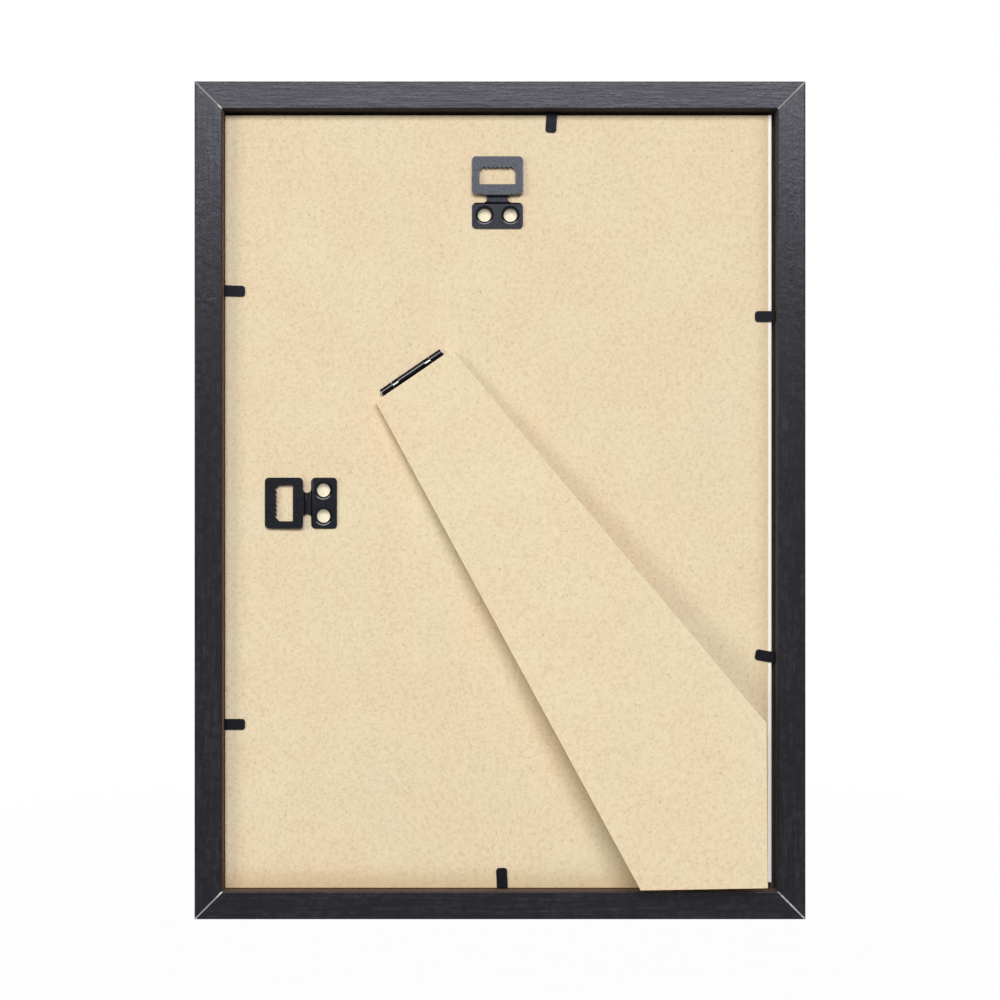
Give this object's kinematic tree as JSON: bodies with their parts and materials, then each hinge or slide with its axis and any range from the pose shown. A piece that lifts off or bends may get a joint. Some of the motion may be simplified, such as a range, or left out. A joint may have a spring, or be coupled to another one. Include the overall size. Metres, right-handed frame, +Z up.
{
  "type": "photo frame",
  "caption": "Upright black photo frame with a fibreboard back, a slanted hinged easel strut, bendable steel tabs that hold the back in, and saw-tooth hangers for either way up.",
  "frame": {"origin": "middle of the bottom rail's underside, where the frame stands upright", "axes": "+Z up to the top rail, -Y out of the glazed front, +Y out of the back, +X to the right as seen from the front"},
  "size_m": [0.2346, 0.0348, 0.3219],
  "materials": {
    "black_moulding": "black wood-grain foil wrapped over fibreboard, satin",
    "fibreboard": "raw pale fibreboard with fine dark fibres, matt",
    "black_steel": "glossy black lacquered sheet steel",
    "bare_steel": "bright drawn steel",
    "clear_glass": "clear float glass",
    "white_paper": "plain white card"
  },
  "bodies": {
    "frame": {"rail_top": "black_moulding", "rail_bottom": "black_moulding", "rail_left": "black_moulding", "rail_right": "black_moulding", "corner_v_nails": "bare_steel", "glazing": "clear_glass", "photo_insert": "white_paper", "backing_board": "fibreboard", "hanger_top": "black_steel", "hanger_side": "black_steel", "hinge_fixed_leaf": "black_steel", "hinge_pin": "bare_steel", "flex_tab_shanks": "black_steel"},
    "easel_strut": {"strut": "fibreboard", "hinge_strut_leaf": "black_steel"},
    "tab_top": {"flex_tab_top": "black_steel"},
    "tab_bottom": {"flex_tab_bottom": "black_steel"},
    "tab_left_upper": {"flex_tab_left_upper": "black_steel"},
    "tab_left_lower": {"flex_tab_left_lower": "black_steel"},
    "tab_right_upper": {"flex_tab_right_upper": "black_steel"},
    "tab_right_lower": {"flex_tab_right_lower": "black_steel"}
  },
  "joints": [
    {"name": "strut_hinge", "type": "hinge", "parent": "frame", "child": "easel_strut", "pos_m": [0.0341, 0.00285, 0.21025], "axis": [0.8261, 0, -0.5635], "range_deg": [-5, 27]},
    {"name": "tab_top_bend", "type": "hinge", "parent": "frame", "child": "tab_top", "pos_m": [-0.0201, 0.0019, 0.31085], "axis": [1, 0, 0], "range_deg": [0, 80]},
    {"name": "tab_bottom_bend", "type": "hinge", "parent": "frame", "child": "tab_bottom", "pos_m": [-0.0009, 0.0019, 0.01105], "axis": [-1, 0, 0], "range_deg": [0, 80]},
    {"name": "tab_left_upper_bend", "type": "hinge", "parent": "frame", "child": "tab_left_upper", "pos_m": [0.1063, 0.0019, 0.24205], "axis": [0, 0, -1], "range_deg": [0, 80]},
    {"name": "tab_left_lower_bend", "type": "hinge", "parent": "frame", "child": "tab_left_lower", "pos_m": [0.1063, 0.0019, 0.07425], "axis": [0, 0, -1], "range_deg": [0, 80]},
    {"name": "tab_right_upper_bend", "type": "hinge", "parent": "frame", "child": "tab_right_upper", "pos_m": [-0.1063, 0.0019, 0.23205], "axis": [0, 0, 1], "range_deg": [0, 80]},
    {"name": "tab_right_lower_bend", "type": "hinge", "parent": "frame", "child": "tab_right_lower", "pos_m": [-0.1063, 0.0019, 0.10005], "axis": [0, 0, 1], "range_deg": [0, 80]}
  ]
}
